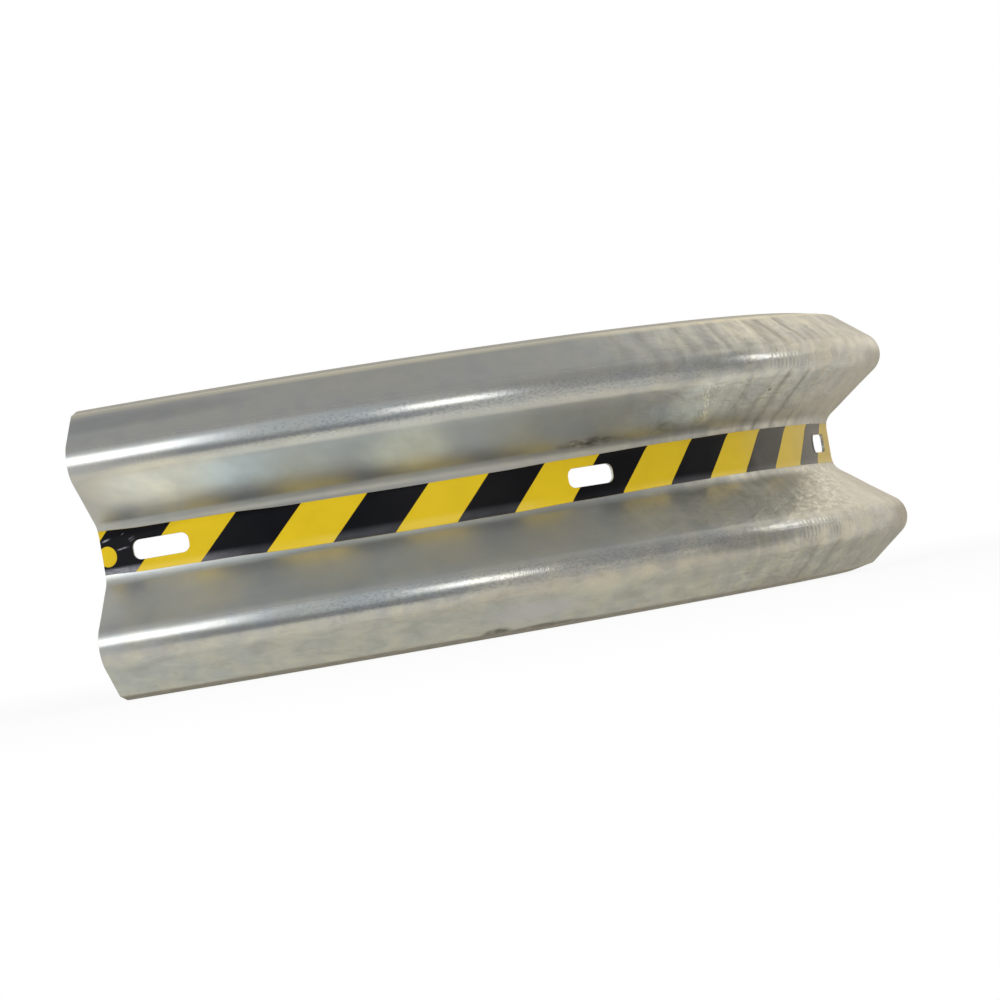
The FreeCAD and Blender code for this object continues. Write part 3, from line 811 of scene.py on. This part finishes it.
def zinc_marks(m):
    """Patches (painted reflection on the upper web at the left), stains, a pale stroke, a painted reflected glow, one
    dark spot, darker lines and spots along the lower edge, and a tan upper lip.
    """
    ragged = m.ramp(m.noise(m.leaning, 30.0, 24.0, 8.8, 3.0, 0.55), 0.34, 0.62, 0.55, 1.0)
    # Patches; those on the upper web at the left are painted reflection of the lower web
    for along, up, half_along, half_up, share, colour in REFLECTION_AND_COLOUR_PATCHES:
        m.lay(colour, m.spot(along, up, half_along, half_up, 0.1), ragged, share)
    m.lay((0.075, 0.066, 0.050), m.spot(-0.012, 0.040, 0.044, 0.0095, 0.0), m.ramp(m.smears, 0.38, 0.60), 0.85)
    m.lay((0.135, 0.140, 0.140), m.spot(0.090, 0.045, 0.024, 0.014, 0.0), m.ramp(m.smears, 0.40, 0.62), 0.50)
    stroke = m.math("MULTIPLY_ADD", m.minus(STROKE_HEIGHT, m.y), STROKE_LEAN, STROKE_PLACE)
    broken = m.ramp(m.noise(m.place, 300.0, 150.0, 4.4, 2.0, 0.6), 0.46, 0.58)
    m.lay((0.93, 0.90, 0.72), m.ramp(m.size_of(m.minus(m.x, stroke)), 0.0055, 0.001),
          m.band(m.y, (0.046, 0.056), (0.108, 0.092)), broken, m.front, 0.85)
    # Painted reflection: a cool pale glow on the upper web
    m.lay((0.70, 0.73, 0.71), m.spot(0.110, 0.102, 0.024, 0.014, 0.1), m.ramp(m.smears, 0.35, 0.60, 0.35, 1.0), 0.60)
    m.lay((0.10, 0.095, 0.085), m.spot(0.2425, 0.0885, 0.0035, 0.0024), 0.8)
    # Darker towards the lower edge of the lower lip, with darker spots
    m.lay((0.10, 0.092, 0.075), m.ramp(m.y, -0.2135, -0.2165), m.ramp(m.smears, 0.36, 0.60, 0.5, 1.0), 0.75)
    darker_edge_spots = m.math("MAXIMUM", m.spot(-0.163, -0.2110, 0.020, 0.010, 0.2), m.spot(-0.105, -0.2140, 0.050, 0.0085, 0.2))
    m.lay((0.045, 0.042, 0.035), darker_edge_spots, m.ramp(m.smears, 0.34, 0.56, 0.4, 1.0), 0.9)
    m.lay((0.64, 0.595, 0.475), m.ramp(m.y, 0.2025, 0.207), m.ramp(m.clouds, 0.3, 0.6, 0.55, 0.9))
    m.lay((0.30, 0.25, 0.18), m.ramp(m.y, 0.217, 0.221), m.ramp(m.smears, 0.34, 0.60, 0.4, 1.0), 0.6)


def zinc_areas(m):
    """Painted reflected light on the scaly end of the lower web with painted shade before it, dark grains on the
    crests, painted shade on the lower flange, and painted light and shade by areas.
    """
    # Painted reflected light on the scaly end of the lower web, with painted highlights and shade on its scales
    m.lay((0.585, 0.565, 0.495), m.scaly, 0.50)
    m.lay((0.82, 0.80, 0.70), m.ramp(m.scales, 0.52, 0.60), m.near_border, 0.50)
    m.lay((0.340, 0.325, 0.280), m.ramp(m.scales, 0.46, 0.38), m.near_border, 0.38)
    # Painted shade on the lower web before the border of its lit end
    m.lay((0.345, 0.350, 0.33), m.band(m.past_border, (0.0, -0.020), (-0.16, -0.06)),
          m.band(m.y, (-0.02, -0.04), (-0.118, -0.100)), 0.45)
    m.lay((0.235, 0.245, 0.265), m.ramp(m.noise(m.place, 240.0, 420.0, 6.6, 3.0, 0.65), 0.50, 0.60),
          m.band(m.away, (0.114, 0.122), (0.146, 0.138)), m.band(m.x, (-0.46, -0.32), (0.22, 0.10)), 0.40)
    # Painted shade: the lower flange made darker and cooler
    m.lay((0.91, 0.955, 0.975), m.ramp(m.y, -0.150, -0.162), blend="MULTIPLY")
    # Painted light and shade by areas
    for *oval, factors in PAINTED_LEVELS:
        m.lay(factors, m.spot(*oval), blend="MULTIPLY")


def zinc_relief(m):
    """The tilt of the crests, then grain, peel, streaks, scales, ripples, speckle and scuffs."""
    m.emboss(-CREST_TILT, m.smooth(m.away, 0.098, 0.166))
    m.emboss(0.00002, m.noise(m.place, 520.0, 260.0, 2.2, 2.0, 0.5), m.flat)
    peel = m.noise(m.leaning, 42.0, 70.0, 6.1, 2.0, 0.5, 0.6)
    m.emboss(0.0014, peel, m.flat, m.ramp(m.right, 0.0, 1.0, 0.10, 1.0))
    m.emboss(0.0008, m.streaks, m.flat, m.right)
    m.emboss(0.0006, m.scales, m.near_border)
    ripples = m.math("SINE", m.times(m.add(m.x, m.times(m.clouds, 0.02)), RIPPLES))
    m.emboss(0.00014, ripples, m.band(m.x, (0.205, 0.225), (0.400, 0.350)),
             m.band(m.away, (0.116, 0.122), (0.152, 0.142)), m.ramp(m.mottle, 0.40, 0.60, 0.25, 1.0),
             m.front, m.ramp(m.y, 0.0, 0.01, 1.0, 0.45))
    m.emboss(0.00012, m.noise(m.place, 620.0, 110.0, 7.7, 2.0, 0.6),
             m.band(m.away, (0.122, 0.128), (0.142, 0.134)), m.ramp(m.clouds, 0.42, 0.58, 0.1, 1.0))
    scuffed = m.math("MAXIMUM", m.spot(0.147, 0.066, 0.012, 0.020, 0.1), m.spot(0.130, 0.098, 0.022, 0.016, 0.1))
    m.emboss(0.0013, m.noise(m.leaning, 420.0, 120.0, 9.3, 2.0, 0.5), scuffed)


def galvanised_steel():
    m = Zinc()
    for lay_part in (zinc_skin, zinc_marks, zinc_areas, zinc_relief):
        lay_part(m)
    rough = m.add(m.ramp(m.crest, 0.0, 1.0, 0.35, 0.19), m.ramp(m.mottle, 0.2, 0.8, -0.03, 0.03))
    return m.surface({"Metallic": 0.86, "Roughness": rough})


# Pale lines at the left end of the film: first end, second end, half width, share. The last is a painted sheen line
# along the lower hem
PALE_LINES = (
    ((-0.5560, 0.0136), (-0.5455, 0.0163), 0.0012, 0.80),
    ((-0.5420, 0.0028), (-0.5265, 0.0050), 0.0011, 0.60),
    ((-0.5275, 0.0120), (-0.5195, 0.0155), 0.0007, 0.35),
    ((-0.5262, 0.0098), (-0.5190, 0.0132), 0.0007, 0.30),
    ((-0.5340, 0.0180), (-0.5300, 0.0205), 0.0006, 0.30),
    ((-0.5545, -0.0168), (-0.5290, -0.0176), 0.0010, 0.60),
)
# Colours of the dust and painted sheen on the right end, the pale lines, and the painted sheen on the lower hem at
# the left end of the film
DUST_AND_SHEEN = (0.44, 0.41, 0.355)
PALE_LINE_COLOUR = (0.42, 0.42, 0.46)
LEFT_HEM_SHEEN = (0.27, 0.265, 0.30)


def tape_film(name, colour, second, lower_sheen, roughness, gloss, dust_and_sheen_amount, left_lines_and_sheen):
    """Printed film. Its lower edge gets a tint that is painted sheen, its right end a share of dust and painted
    sheen, and its loose left end, as far as the last argument says, pale lines and a painted sheen on its lower hem."""
    m = Finish(name, colour)
    place = m.attribute("sheet_place", "Vector")
    part = m.parts(place)
    x, y = part["X"], part["Y"]
    clouds = m.noise(place, 22.0, 30.0)
    m.lay(second, m.ramp(clouds, 0.3, 0.7))
    # Painted sheen along the lower edge of the film
    m.lay(lower_sheen, m.ramp(y, -0.0145, -0.0225), m.ramp(clouds, 0.35, 0.6, 0.45, 1.0),
          m.ramp(m.size_of(x), 0.03, 0.09, 0.15, 1.0))
    # Dust and painted sheen on the right end of the film
    dust_and_sheen_mask = m.add(m.ramp(x, 0.232, 0.275, 0.0, 0.24), m.ramp(x, 0.36, 0.47, 0.0, 0.16))
    rim = m.oval(x, y, (0.4505, 0.0), (0.008, 0.013), 0.4)
    m.lay(DUST_AND_SHEEN, dust_and_sheen_mask, m.ramp(clouds, 0.2, 0.8, 0.8 * dust_and_sheen_amount, 1.2 * dust_and_sheen_amount), m.ramp(rim, 0.0, 1.0, 1.0, 0.1))
    smudge = m.noise(place, 320.0, 500.0, 2.6, 2.0)
    # Pale lines at the loose left end; the last is a painted sheen line
    for (x0, y0), (x1, y1), half, share in PALE_LINES if left_lines_and_sheen else ():
        long = math.hypot(x1 - x0, y1 - y0)
        ux, uy = (x1 - x0) / long, (y1 - y0) / long
        dx, dy = m.minus(x, x0), m.minus(y, y0)
        run = m.add(m.times(dx, ux), m.times(dy, uy))
        off = m.size_of(m.minus(m.times(dy, ux), m.times(dx, uy)))
        m.lay(PALE_LINE_COLOUR, m.band(run, (0.0, long * 0.3), (long, long * 0.6)), m.ramp(off, half, half * 0.2),
              m.ramp(smudge, 0.35, 0.60, 0.45, 1.0), share * left_lines_and_sheen)
    # Painted sheen on the lower hem at the left end
    m.lay(LEFT_HEM_SHEEN, m.ramp(y, -0.0140, -0.0190), m.ramp(x, LEFT_END + 0.160, LEFT_END + 0.030, 0.0, left_lines_and_sheen),
          m.ramp(smudge, 0.35, 0.60, 0.5, 0.8))
    m.emboss(0.00003, m.noise(place, 260.0, 260.0, 5.0, 2.0))
    rough = m.ramp(clouds, 0.2, 0.8, roughness - 0.03, roughness + 0.04)
    return m.surface({"Roughness": rough, "Specular IOR Level": gloss})


steel = galvanised_steel()
yellow = tape_film("yellow_film", colour=(0.62, 0.43, 0.008), second=(0.57, 0.39, 0.007), lower_sheen=(0.62, 0.44, 0.045),
                   roughness=0.30, gloss=0.20, dust_and_sheen_amount=0.38, left_lines_and_sheen=0.0)
black = tape_film("black_print", colour=(0.002, 0.002, 0.003), second=(0.004, 0.004, 0.005),
                  lower_sheen=(0.047, 0.047, 0.052), roughness=0.24, gloss=0.10, dust_and_sheen_amount=0.68, left_lines_and_sheen=1.0)

rail = make_with(straight_rail(), [bend_rail_tree()], steel)
film_places, plain_film, spot_film = film_plan()
wrap_film = wrap_film_tree()
film = make_with(film_piece("tape_film", film_places, plain_film + spot_film, GLUE_LINE, GLUE_LINE + FILM),
                 [wrap_film], yellow)
bars = make_with(film_piece("tape_bars", film_places, plain_film, GLUE_LINE + FILM, GLUE_LINE + FILM + INK),
                 [print_bars_tree(), wrap_film], black)

for piece, node, slot in ((rail, "rail", "galvanised_steel"), (film, "hazard_tape", "yellow_film"),
                          (bars, "tape_black_bars", "black_print")):
    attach(piece, "root")
    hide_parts(node)


# Stage
WHITE = (1, 1, 1, 1)
SOFT_LIGHT = 0.42
FLOOR_HALF = 30.0
FLOOR_DROP = 0.0002


def on_view(t):
    """1 for camera, glossy and transmission rays, and 0 for all others."""
    path = t.node("ShaderNodeLightPath").outputs
    either = t.math("MAXIMUM", path["Is Camera Ray"], path["Is Glossy Ray"])
    return t.math("MAXIMUM", either, path["Is Transmission Ray"])


def make_floor():
    """A pale floor that keeps the shadow and turns into the background at a distance."""
    corners = [(x * FLOOR_HALF, y * FLOOR_HALF, -FLOOR_DROP) for x, y in ((-1, -1), (1, -1), (1, 1), (-1, 1))]
    floor = new_piece("studio_floor", corners, [(0, 1, 2, 3)])
    m = Finish("studio_floor")
    paint = m.node("ShaderNodeBsdfDiffuse", {"Color": (0.95, 0.95, 0.95, 1)}).outputs[0]
    spot = m.node("ShaderNodeTexCoord").outputs["Object"]
    away = m.node("ShaderNodeVectorMath", {0: spot}, operation="LENGTH").outputs["Value"]
    share = m.times(on_view(m), m.ramp(away, 0.7, 2.6, 0.90, 1.0))
    glow = m.node("ShaderNodeEmission", {"Color": WHITE, "Strength": 1.0}).outputs[0]
    mixed = m.node("ShaderNodeMixShader", {0: share, 1: paint, 2: glow}).outputs[0]
    floor.data.materials.append(m.shown(mixed))
    floor.visible_glossy = False


def make_world():
    world = bpy.data.worlds.new("studio")
    bpy.context.scene.world = world
    world.use_nodes = True
    t = Tree(world.node_tree)
    soft, white = (t.node("ShaderNodeBackground", {"Color": WHITE, "Strength": strength}).outputs[0]
                   for strength in (SOFT_LIGHT, 1.0))
    mixed = t.node("ShaderNodeMixShader", {0: on_view(t), 1: soft, 2: white}).outputs[0]
    t.node("ShaderNodeOutputWorld", {"Surface": mixed})


def towards(azimuth, elevation):
    """Unit vector of a direction in degrees. Azimuth 0 is in front of the rail and 90 to its right."""
    a = math.radians(azimuth)
    e = math.radians(elevation)
    return Vector((math.sin(a) * math.cos(e), -math.cos(a) * math.cos(e), math.sin(e)))


LAMP_DISTANCE = 6.5
LAMP_AIM = Vector((0, 0, 0.15))


def lamp(name, azimuths, elevations, radiance, colour):
    """A soft box that faces the rail, between two azimuths and two elevations."""
    azimuth = sum(azimuths) / 2
    elevation = sum(elevations) / 2
    width, height = (2 * LAMP_DISTANCE * math.tan(math.radians(high - low) / 2)
                     for low, high in (azimuths, elevations))
    light = bpy.data.lights.new(name, "AREA")
    light.shape = "RECTANGLE"
    light.size = width * math.cos(math.radians(elevation))
    light.size_y = height
    light.energy = radiance * math.pi * light.size * light.size_y
    light.color = colour
    holder = bpy.data.objects.new(name, light)
    bpy.context.scene.collection.objects.link(holder)
    back = towards(azimuth, elevation)
    holder.matrix_world = Matrix.Translation(LAMP_AIM + back * LAMP_DISTANCE) @ \
        back.to_track_quat("Z", "Y").to_matrix().to_4x4()
    holder.visible_camera = False
    holder.visible_glossy = False


# What the steel mirrors, the later over the earlier: azimuths, elevations, width of their soft edges, radiance
PANELS = (
    ((-180, 180), (-90, -42), (1, 26), (1.00, 0.965, 0.86)),
    ((30, 165), (-90, -38), (30, 22), (0.90, 0.82, 0.68)),
    ((-180, -52), (-30, 0), (14, 14), (0.78, 0.78, 0.78)),
    ((-42, -10), (-26, -8), (20, 13), (0.28, 0.295, 0.32)),
    ((14, 50), (-24, -2), (14, 14), (0.70, 0.67, 0.60)),
    ((56, 70), (-24, -2), (10, 14), (0.58, 0.55, 0.49)),
    ((84, 106), (-30, 0), (12, 12), (0.94, 0.87, 0.74)),
    ((120, 165), (-36, 4), (12, 12), (0.50, 0.45, 0.36)),
    ((-36, -10), (4, 44), (12, 22), (0.65, 0.71, 0.75)),
    ((24, 56), (4, 48), (14, 16), (0.43, 0.42, 0.40)),
    ((84, 128), (12, 34), (10, 12), (1.10, 1.02, 0.86)),
    ((-90, -36), (48, 60), (20, 16), (0.76, 0.79, 0.82)),
    ((-180, 180), (62, 90), (1, 14), (0.49, 0.485, 0.47)),
    ((-150, -112), (8, 36), (16, 20), (1.6, 1.6, 1.6)),
    ((178, 208), (8, 34), (14, 18), (1.6, 1.6, 1.55)),
    ((-84, -50), (15, 29), (17, 18), (3.1, 3.2, 3.3)),
    ((-1, 6), (11, 19), (10, 13), (3.4, 3.4, 3.3)),
    ((71, 75), (12, 17), (4, 8), (3.5, 3.45, 3.3)),
)
PLAIN_WALL = (0.60, 0.60, 0.585)
ROOM_RADIUS = 6.0
ROOM_COLUMNS = 120
ROOM_ROWS = 60
ROOM_POLE = 89.9


def within(value, limits, soft):
    """1 between two limits, falling smoothly to 0 over the width of a soft edge."""
    rest = max(1.0 - max(limits[0] - value, value - limits[1], 0.0) / soft, 0.0)
    return rest * rest * (3 - 2 * rest)


def mirrored(azimuth, elevation):
    """Radiance of the reflection room in a direction."""
    colour = PLAIN_WALL
    for azimuths, elevations, soft, radiance in PANELS:
        turn = max(within(azimuth + full, azimuths, soft[0]) for full in (-360, 0, 360))
        share = turn * within(elevation, elevations, soft[1])
        colour = tuple(c + (r - c) * share for c, r in zip(colour, radiance))
    return colour


def make_reflection_room():
    """A shell round the rail that only gloss sees, with the soft windows and walls that the steel mirrors."""
    vertices = []
    colours = []
    for j in range(ROOM_ROWS + 1):
        elevation = ROOM_POLE * (2 * j / ROOM_ROWS - 1)
        for i in range(ROOM_COLUMNS):
            azimuth = -180 + 360 * i / ROOM_COLUMNS
            vertices.append(Vector((0, 0, MID_HEIGHT)) + towards(azimuth, elevation) * ROOM_RADIUS)
            colours += [*mirrored(azimuth, elevation), 1.0]
    faces = []
    for low in range(0, ROOM_ROWS * ROOM_COLUMNS, ROOM_COLUMNS):
        high = low + ROOM_COLUMNS
        faces += [(low + i, low + k, high + k, high + i) for i, k in loop_edges(0, ROOM_COLUMNS)]
    room = new_piece("reflection_room", vertices, faces)
    layer = room.data.attributes.new("glow", "FLOAT_COLOR", "POINT")
    layer.data.foreach_set("color", colours)
    m = Finish("reflection_room")
    m.material.cycles.emission_sampling = "NONE"
    glow = m.node("ShaderNodeEmission", {"Color": m.attribute("glow", "Color")}).outputs[0]
    room.data.materials.append(m.shown(glow))
    room.visible_camera = False
    room.visible_diffuse = False
    room.visible_shadow = False
    room.visible_transmission = False


# The camera that the outline, the tape and the slots of the photograph were solved for: width of the picture and
# focal length in pixels, place from the axis of the bend at mid height, and turns in radians
PHOTO_WIDTH = 1000
FOCAL_LENGTH = 4255.64
SENSOR = 36.0
CAMERA_PLACE = Vector((-2.744080, -4.427492, -0.083884))
YAW = 0.613417
PITCH = -0.016069
ROLL = -0.166849


def make_camera():
    data = bpy.data.cameras.new("photo_camera")
    data.sensor_width = SENSOR
    data.lens = FOCAL_LENGTH * SENSOR / PHOTO_WIDTH
    data.clip_end = 100.0
    camera = bpy.data.objects.new("photo_camera", data)
    bpy.context.scene.collection.objects.link(camera)
    turn = (Matrix.Rotation(-YAW, 4, "Z") @ Matrix.Rotation(math.pi / 2 - PITCH, 4, "X")
            @ Matrix.Rotation(ROLL, 4, "Z"))
    camera.matrix_world = Matrix.Translation(CAMERA_PLACE + Vector((0, BEND_CENTRE_Y, MID_HEIGHT))) @ turn
    bpy.context.scene.camera = camera


make_floor()
make_world()
lamp("left_window", (-66, -40), (2, 38), 6.0, (0.97, 0.99, 1.0))
lamp("front_window", (-4, 8), (2, 38), 6.0, (0.98, 0.99, 1.0))
lamp("right_window", (66, 80), (4, 34), 4.0, (1.0, 1.0, 0.98))
make_reflection_room()
make_camera()

scene = bpy.context.scene
scene.view_settings.view_transform = "Standard"
